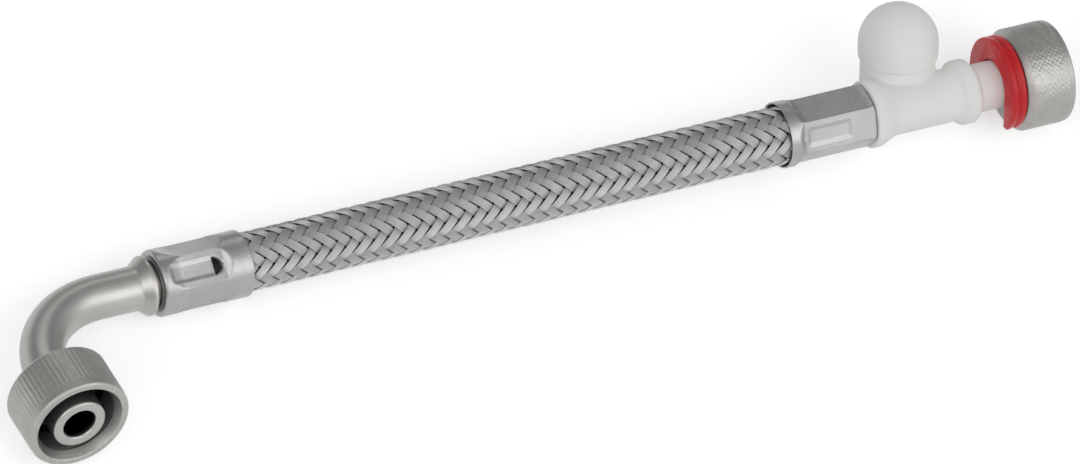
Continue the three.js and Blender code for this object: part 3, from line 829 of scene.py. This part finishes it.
class FerruleOperator(bpy.types.Operator):
    """Make the two ferrules that are pressed over the ends of the braid"""
    bl_idname = "hose.ferrules"
    bl_label = "Ferrules"

    def execute(self, context):
        colours, sizes = context.scene.hose_colours, context.scene.hose_sizes
        finish = metal("pressed_steel", colours.ferrule, 0.36, variation=0.22, patch=110.0,
                       grain=900.0, bump=0.5, rub=(0.53, 0.62))
        taper = FERRULE_MOUTH + CRIMP_TAPER
        inner_end = FERRULE_LENGTH - LIP_THICKNESS
        corners = [
            (0.1, FERRULE_RADIUS - MOUTH_ROLL, 0.15), (0, FERRULE_RADIUS, 0.3),
            (FERRULE_LENGTH, FERRULE_RADIUS, 0.9), (FERRULE_LENGTH, TUBE_RADIUS + GAP, 0.3),
            (inner_end, TUBE_RADIUS + GAP, 0.2), (inner_end, CRIMP_BORE, 0.2),
            (taper, CRIMP_BORE, 0.4), (1.6, BRAID_RADIUS + GAP, 0.4),
        ]
        outline = finely(rounded(corners), 0.3)
        flip = Matrix.Rotation(math.pi, 4, "Z")
        ends = [("left_ferrule", flip, LEFT_PRESS, sizes.pocket_depth / MM),
                ("right_ferrule", Matrix.Translation((HOSE_LENGTH, 0, 0)), RIGHT_PRESS, 0.0)]
        for name, placed, press, pocket in ends:
            shape = pressed(press, sizes.window_depth / MM, pocket)
            mesh = mesh_of(name + "_sleeve", *turned(outline, FERRULE_SIDES, shape=shape))
            painted_shade(mesh, ferrule_painted_shade(press, pocket))
            place_piece(name + "_sleeve", mesh, finish, "hose", [name], placed)
        return {"FINISHED"}


class BraidOperator(bpy.types.Operator):
    """Wind the two hands of the wire braid"""
    bl_idname = "hose.braid"
    bl_label = "Wire Braid"

    def execute(self, context):
        colours, sizes = context.scene.hose_colours, context.scene.hose_sizes
        finish = metal("braid_wire", colours.wire, 0.3, variation=0.08, dull=0.72, amount=0.4,
                       patch=140.0, grain=2600.0, bump=0.05, rub=(0.7, 0.9))
        gauge = sizes.wire_gauge / MM
        relief = sizes.braid_relief / MM
        crown = sizes.bundle_crown / MM
        radius = BRAID_RADIUS + BRAID_SWELL - gauge / 2 - relief - crown
        tree = braid_tree()
        for hand, name in ((1.0, "right_hand_wires"), (-1.0, "left_hand_wires")):
            mesh = plain_mesh(bpy.data.meshes.new(name), tree=tree, values={
                "Start": -WIRE_OVERRUN, "Length": HOSE_LENGTH + 2 * WIRE_OVERRUN,
                "Radius": radius, "Lay": sizes.braid_lay / MM, "Relief": relief,
                "Crown": crown, "Carriers": sizes.carriers, "Wires": sizes.wires,
                "Wire Gauge": gauge, "Wire Spacing": gauge * 1.03, "Hand": hand,
                "Points": WIRE_POINTS, "Sides": WIRE_SIDES, "Material": finish})
            if not mesh.vertices:
                raise RuntimeError("the braid's tree made no wires")
            nodes = ["wire_braid"] if hand > 0 else []
            place_piece(name, mesh, finish, "hose", nodes, sharp=80)
        return {"FINISHED"}


class TeeOperator(bpy.types.Operator):
    """Make the moulded tee: barbed tail, collar, run with a bead, neck, spigot and branch"""
    bl_idname = "hose.tee"
    bl_label = "Tee"

    def execute(self, context):
        finish = natural_plastic(context)
        tail = barbed_tail(TEE_START, GAP)
        corners = [(tail[0][0], 0)] + tail + [
            (TEE_START, TUBE_RADIUS), (TEE_START, TEE_COLLAR_RADIUS, 0.5),
            (TEE_COLLAR_END, TEE_COLLAR_RADIUS, 1.2), (RUN_START, RUN_RADIUS, 2.0),
            (BEAD_START, RUN_RADIUS, 0.5), (BEAD_START + 1.3, BEAD_RADIUS, 1.0),
            (BEAD_END - 1.0, BEAD_RADIUS, 0.8), (BEAD_END, NECK_RADIUS, 0.5),
            (SPIGOT_START, NECK_RADIUS, 0.2), (SPIGOT_START, SPIGOT_RADIUS, 0.4),
            (SPIGOT_END, SPIGOT_RADIUS, 0.4), (SPIGOT_END, 0),
        ]
        places, faces = turned(rounded(corners), TURNED_SIDES)
        upright = turned(rounded([
            (-BRANCH_FOOT, 0), (-BRANCH_FOOT, BRANCH_RADIUS, 3.0),
            (BRANCH_HEIGHT, BRANCH_RADIUS, 0.3), (BRANCH_HEIGHT, 0)]), TURNED_SIDES)
        faces = faces + [[i + len(places) for i in face] for face in upright[1]]
        places = places + on_branch(upright[0])
        cut_from = TEE_START - TAIL_CUT
        cut_to = SPIGOT_END + CUT_OVERRUN
        cut = turned([(cut_from, 0), (cut_from, TAIL_BORE), (TEE_START, TAIL_BORE),
                      (RUN_START, RUN_BORE), (cut_to, RUN_BORE), (cut_to, 0)], BORE_SIDES)
        bore = bpy.data.objects.new("bore", mesh_of("bore", *cut))
        foot, top = BRANCH_WALL - BRANCH_FOOT, BRANCH_HEIGHT + CUT_OVERRUN
        width = BRANCH_RADIUS - BRANCH_WALL
        chamber = turned([(foot, 0), (foot, width), (top, width), (top, 0)], BORE_SIDES)
        hollow = bpy.data.objects.new(
            "hollow", mesh_of("hollow", on_branch(chamber[0]), chamber[1]))
        for tool in (bore, hollow):
            context.scene.collection.objects.link(tool)
        mesh = plain_mesh(mesh_of("tee", places, faces), [
            ("REMESH", {"mode": "VOXEL", "voxel_size": 0.34}),
            ("SMOOTH", {"factor": 0.5, "iterations": 6}),
            ("BOOLEAN", {"operation": "DIFFERENCE", "object": bore, "solver": "EXACT"}),
            ("BOOLEAN", {"operation": "DIFFERENCE", "object": hollow, "solver": "EXACT"}),
        ])
        for tool in (bore, hollow):
            bpy.data.objects.remove(tool)
        place_piece("moulded_tee", mesh, finish, "hose", ["tee_body"], sharp=50)
        return {"FINISHED"}


def natural_plastic(context):
    """Finish of the tee and its cap, made on its first use."""
    colours = context.scene.hose_colours
    if "natural_plastic" not in bpy.data.materials:
        shade = [channel * 0.93 for channel in colours.moulding]
        plastic("natural_plastic", colours.moulding, shade, 0.38, 1.0, 0.0022, coat=0.15)
    return bpy.data.materials["natural_plastic"]


class CapOperator(bpy.types.Operator):
    """Make the domed cap of the tee's branch"""
    bl_idname = "hose.cap"
    bl_label = "Branch Cap"

    def execute(self, context):
        seat = BRANCH_HEIGHT + GAP
        centre = seat + CAP_SKIRT
        plug = BRANCH_RADIUS - BRANCH_WALL - GAP
        inside = CAP_RADIUS - CAP_WALL
        start = math.acos((plug - CAP_WALL) / inside)
        inner = [(centre + y, x) for x, y in arc(inside, math.pi / 2, start, DOME_STEPS)]
        outer = [(centre + y, x) for x, y in arc(CAP_RADIUS, 0.0, math.pi / 2, DOME_STEPS)][1:]
        inner[0], outer[-1] = (inner[0][0], 0.0), (outer[-1][0], 0.0)
        corners = inner + [
            (seat - CAP_PLUG, plug - CAP_WALL, 0.3), (seat - CAP_PLUG, plug, 0.3), (seat, plug),
            (seat, CAP_RADIUS - 0.1, 0.35), (centre, CAP_RADIUS)] + outer
        places, faces = turned(rounded(corners), TURNED_SIDES)
        mesh = mesh_of("domed_cap", on_branch(places), faces)
        finish = natural_plastic(context)
        place_piece("domed_cap", mesh, finish, "hose", ["branch_cap"])
        return {"FINISHED"}


class ClipOperator(bpy.types.Operator):
    """Make the red locking clip, a horseshoe with a groove round its rim"""
    bl_idname = "hose.clip"
    bl_label = "Locking Clip"

    def execute(self, context):
        colours = context.scene.hose_colours
        shade = [channel * 0.8 for channel in colours.clip]
        finish = plastic("clip_plastic", colours.clip, shade, 0.34, 0.2, 0.0012,
                         coat=0.05, shine=0.3)
        slot = NECK_RADIUS + GAP
        outer = math.sqrt(CLIP_RADIUS ** 2 - CLIP_LEG ** 2)
        leg = math.atan2(-CLIP_LEG, outer)
        rim = arc(CLIP_RADIUS, leg, math.pi - leg, RIM_STEPS)
        inner = [(-slot, -CLIP_LEG)] + arc(slot, math.pi, 0.0, SLOT_STEPS) + [(slot, -CLIP_LEG)]
        points = np.array(rim + inner)
        groove = np.array([1.0] * len(rim) + [0.0] * len(inner))
        edge = np.roll(points, -1, axis=0) - points
        edge /= np.linalg.norm(edge, axis=1)[:, None]
        normal = np.stack([edge[:, 1], -edge[:, 0]], axis=1)
        mitre = normal + np.roll(normal, 1, axis=0)
        mitre /= np.maximum(0.6, (mitre * normal).sum(axis=1))[:, None]
        levels = [(0.0, 0.35, 0), (0.1, 0.1, 0), (0.35, 0.0, 0), (CLIP_RIDGE - 0.25, 0.0, 0),
                  (CLIP_RIDGE - 0.05, 0.08, 0), (CLIP_RIDGE + 0.1, 0.0, CLIP_GROOVE * 0.8),
                  (CLIP_RIDGE + 0.35, 0.0, CLIP_GROOVE)]
        levels += [(CLIP_THICKNESS - t, inset, sunk) for t, inset, sunk in reversed(levels)]
        places, faces, count = [], [], len(points)
        for depth, inset, sunk in levels:
            ring = points - mitre * (inset + sunk * groove[:, None])
            places += [Vector((depth, y, z)) for y, z in ring]
        for level in range(len(levels) - 1):
            for i in range(count):
                a, b = level * count + i, level * count + (i + 1) % count
                faces.append([a, b, b + count, a + count])
        faces.append(list(range(count)))
        faces.append(list(range((len(levels) - 1) * count, len(levels) * count)))
        mesh = mesh_of("horseshoe_clip", places, faces)
        placed = Matrix.Translation((CLIP_START, 0, 0)) @ Matrix.Rotation(-BRANCH_LEAN, 4, "X")
        place_piece("horseshoe_clip", mesh, finish, "clip", ["locking_clip"],
                    placed, sharp=50)
        return {"FINISHED"}


def make_nut(context, name, node, body, placed, radius, length, rim, bore, ridges, depth,
             lean, wear, per_ridge, step):
    """Union nut from its web to its mouth, with its knurl pressed in by the geometry tree."""
    if "nickel_plate" not in bpy.data.materials:
        metal("nickel_plate", context.scene.hose_colours.nut, 0.46, variation=0.18, dull=0.7,
              patch=150.0, grain=1300.0, bump=0.22, rub=(0.72, 0.85))
    finish = bpy.data.materials["nickel_plate"]
    smooth = radius - depth * 0.6
    end = length - rim
    thread = []
    for turn in range(int((length - NUT_WEB - THREAD_END) / THREAD_PITCH)):
        at = length - THREAD_START - turn * THREAD_PITCH
        thread += [(at, NUT_BORE + THREAD_DEPTH), (at - THREAD_PITCH / 2, NUT_BORE)]
    corners = [
        (0, bore + 0.3, 0.2), (0, radius - NUT_CHAMFER, 0.4), (NUT_CHAMFER, radius, 0.3),
        (end, radius), (end + 0.3, smooth, 0.15), (length, smooth, 1.1),
        (length, NUT_MOUTH, 0.4),
    ] + thread + [(NUT_WEB, NUT_BORE, 0.4), (NUT_WEB, bore, 0.2)]
    outline = finely(rounded(corners), step, NUT_CHAMFER, end)
    mesh = mesh_of(name, *turned(outline, ridges * per_ridge))
    mesh = plain_mesh(mesh, tree=knurl_tree(), values={
        "Radius": radius, "Start": NUT_CHAMFER, "End": end, "Ridges": ridges, "Depth": depth,
        "Lean": lean, "Fade": 0.5, "Wear": wear, "Material": finish})

    # Painted shade inside the nut, darker away from its mouth.
    def nut_painted_shade(place):
        inside = math.hypot(place.y, place.z) < NUT_MOUTH - 0.1 and place.x > 0.5
        return 0.85 * smooth_step(0.6, 3.0, length - place.x) if inside else 0.0

    painted_shade(mesh, nut_painted_shade)
    place_piece(name, mesh, finish, body, [node], placed, sharp=70)


class LeftNutOperator(bpy.types.Operator):
    """Make the union nut with a straight knurl on the bent tube's outlet"""
    bl_idname = "hose.left_nut"
    bl_label = "Left Union Nut"

    def execute(self, context):
        sizes = context.scene.hose_sizes
        placed = (Matrix.Translation((CORNER_X, -(OUTLET_REACH - LEFT_NUT_LENGTH), 0))
                  @ Matrix.Rotation(-math.pi / 2, 4, "Z"))
        make_nut(context, "straight_knurl_nut", "left_union_nut", "left_nut", placed,
                 LEFT_NUT_RADIUS, LEFT_NUT_LENGTH, LEFT_NUT_RIM, TUBE_RADIUS + GAP,
                 sizes.left_ridges, sizes.left_depth / MM,
                 lean=0.0, wear=0.6, per_ridge=8, step=0.6)
        return {"FINISHED"}


class RightNutOperator(bpy.types.Operator):
    """Make the union nut with a crossed knurl on the tee's spigot"""
    bl_idname = "hose.right_nut"
    bl_label = "Right Union Nut"

    def execute(self, context):
        sizes = context.scene.hose_sizes
        lean = sizes.right_ridges / (2 * math.pi * RIGHT_NUT_RADIUS)
        placed = Matrix.Translation((RIGHT_NUT_START, 0, 0))
        make_nut(context, "crossed_knurl_nut", "right_union_nut", "right_nut", placed,
                 RIGHT_NUT_RADIUS, RIGHT_NUT_LENGTH, RIGHT_NUT_RIM, NECK_RADIUS + GAP,
                 sizes.right_ridges, sizes.right_depth / MM,
                 lean=lean, wear=0.65, per_ridge=6, step=0.2)
        return {"FINISHED"}


class RubberOperator(bpy.types.Operator):
    """Finish the rubber liner and make the washer in the right nut"""
    bl_idname = "hose.rubber"
    bl_label = "Rubber Parts"

    def execute(self, context):
        colour = context.scene.hose_colours.rubber
        finish = plastic("rubber", colour, [c * 1.8 for c in colour], 0.62, 0.0, 0.001)
        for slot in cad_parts["hose_liner"].material_slots:
            slot.material = finish
        start = SPIGOT_END + GAP
        end = start + WASHER_THICKNESS
        corners = [(start, RUN_BORE + GAP, 0.3), (start, WASHER_RADIUS, 0.3),
                   (end, WASHER_RADIUS, 0.4), (end, RUN_BORE + GAP, 0.4)]
        mesh = mesh_of("flat_washer", *turned(rounded(corners), TURNED_SIDES))
        place_piece("flat_washer", mesh, finish, "right_nut", ["right_seal_washer"])
        return {"FINISHED"}


# Stage

def set_camera(scene):
    """Camera with a long lens, high above the near side of the hose."""
    camera = bpy.data.objects.new("camera", bpy.data.cameras.new("camera"))
    camera.data.sensor_width = 36.0
    camera.data.lens = LENS
    camera.data.clip_end = 20.0
    turn = Matrix(VIEW_AXES).to_quaternion().to_matrix().to_4x4()
    camera.matrix_world = Matrix.Translation(EYE) @ turn
    scene.collection.objects.link(camera)
    scene.camera = camera


def hang_lamps(scene):
    """Soft rectangular lamps, turned to the middle of the hose."""
    for name, place, width, height, power in LAMPS:
        lamp = bpy.data.objects.new(name, bpy.data.lights.new(name, "AREA"))
        lamp.data.shape = "RECTANGLE"
        lamp.data.size = width
        lamp.data.size_y = height
        lamp.data.energy = power
        lamp.location = place
        lamp.rotation_euler = (-Vector(place)).to_track_quat("-Z", "Y").to_euler()
        scene.collection.objects.link(lamp)


def seen_directly(w):
    """1 for a ray from the camera, also by way of a mirror or glass, and 0 for other light."""
    light = w.node("ShaderNodeLightPath").outputs
    seen = w.math("MAXIMUM", light["Is Camera Ray"], light["Is Glossy Ray"])
    return w.math("MAXIMUM", seen, light["Is Transmission Ray"])


def hang_sky(scene):
    """White background, which is mirrored brighter from the near side than from the far one."""
    world = bpy.data.worlds.new("studio")
    world.use_nodes = True
    world.node_tree.nodes.clear()
    scene.world = world
    w = Wiring(world.node_tree)
    direction = w.node("ShaderNodeTexCoord").outputs["Generated"]
    depth = w.node("ShaderNodeSeparateXYZ", inputs={0: direction}).outputs[1]
    seen_level = w.spread(depth, -0.6, 0.6, SKY_NEAR, SKY_FAR)
    level = w.make("ShaderNodeMix", {0: seen_directly(w), 2: SKY_LIGHT, 3: seen_level},
                   {"data_type": "FLOAT"})
    sky = w.make("ShaderNodeBackground", {"Color": (1, 1, 1, 1), "Strength": level})
    w.feed(w.node("ShaderNodeOutputWorld").inputs[0], sky)


def lay_floor(scene):
    """White floor that looks as bright as the background."""
    half = FLOOR_HALF
    floor = bpy.data.objects.new("floor", bpy.data.meshes.new("floor"))
    corners = [(-half, -half, 0), (half, -half, 0), (half, half, 0), (-half, half, 0)]
    floor.data.from_pydata(corners, [], [(0, 1, 2, 3)])
    paper, w, shader = new_material("floor_paper")
    shader.inputs["Roughness"].default_value = 0.9
    shader.inputs["Specular IOR Level"].default_value = 0.0
    shader.inputs["Base Color"].default_value = tone(scene.hose_colours.floor)
    shader.inputs["Emission Color"].default_value = (1, 1, 1, 1)
    w.feed(shader.inputs["Emission Strength"], w.times(seen_directly(w), FLOOR_GLOW))
    floor.data.materials.append(paper)
    scene.collection.objects.link(floor)


class StageOperator(bpy.types.Operator):
    """Lay the floor and set the camera, the lamps and the background"""
    bl_idname = "hose.stage"
    bl_label = "Stage"

    def execute(self, context):
        context.scene.view_settings.view_transform = "Standard"
        set_camera(context.scene)
        hang_lamps(context.scene)
        hang_sky(context.scene)
        lay_floor(context.scene)
        return {"FINISHED"}


# Add-on

OPERATORS = (
    StageOperator, BraidOperator, FerruleOperator, BendTubeOperator, TeeOperator, CapOperator,
    ClipOperator, LeftNutOperator, RightNutOperator, RubberOperator,
)


class HosePanel(bpy.types.Panel):
    """Sizes, colours and pieces of the hose"""
    bl_idname = "VIEW3D_PT_hose"
    bl_label = "Braided Hose"
    bl_space_type = "VIEW_3D"
    bl_region_type = "UI"
    bl_category = "Hose"

    def draw(self, context):
        for holder in (context.scene.hose_sizes, context.scene.hose_colours):
            box = self.layout.box()
            for name in holder.__annotations__:
                box.prop(holder, name)
        for operator in OPERATORS:
            self.layout.operator(operator.bl_idname)


CLASSES = (HoseSizes, HoseColours) + OPERATORS + (HosePanel,)


def register():
    for item in CLASSES:
        bpy.utils.register_class(item)
    bpy.types.Scene.hose_sizes = bpy.props.PointerProperty(type=HoseSizes)
    bpy.types.Scene.hose_colours = bpy.props.PointerProperty(type=HoseColours)


def unregister():
    del bpy.types.Scene.hose_colours
    del bpy.types.Scene.hose_sizes
    for item in reversed(CLASSES):
        bpy.utils.unregister_class(item)


def main():
    register()
    for operator in OPERATORS:
        family, action = operator.bl_idname.split(".")
        getattr(getattr(bpy.ops, family), action)()


if __name__ == "__main__":
    main()
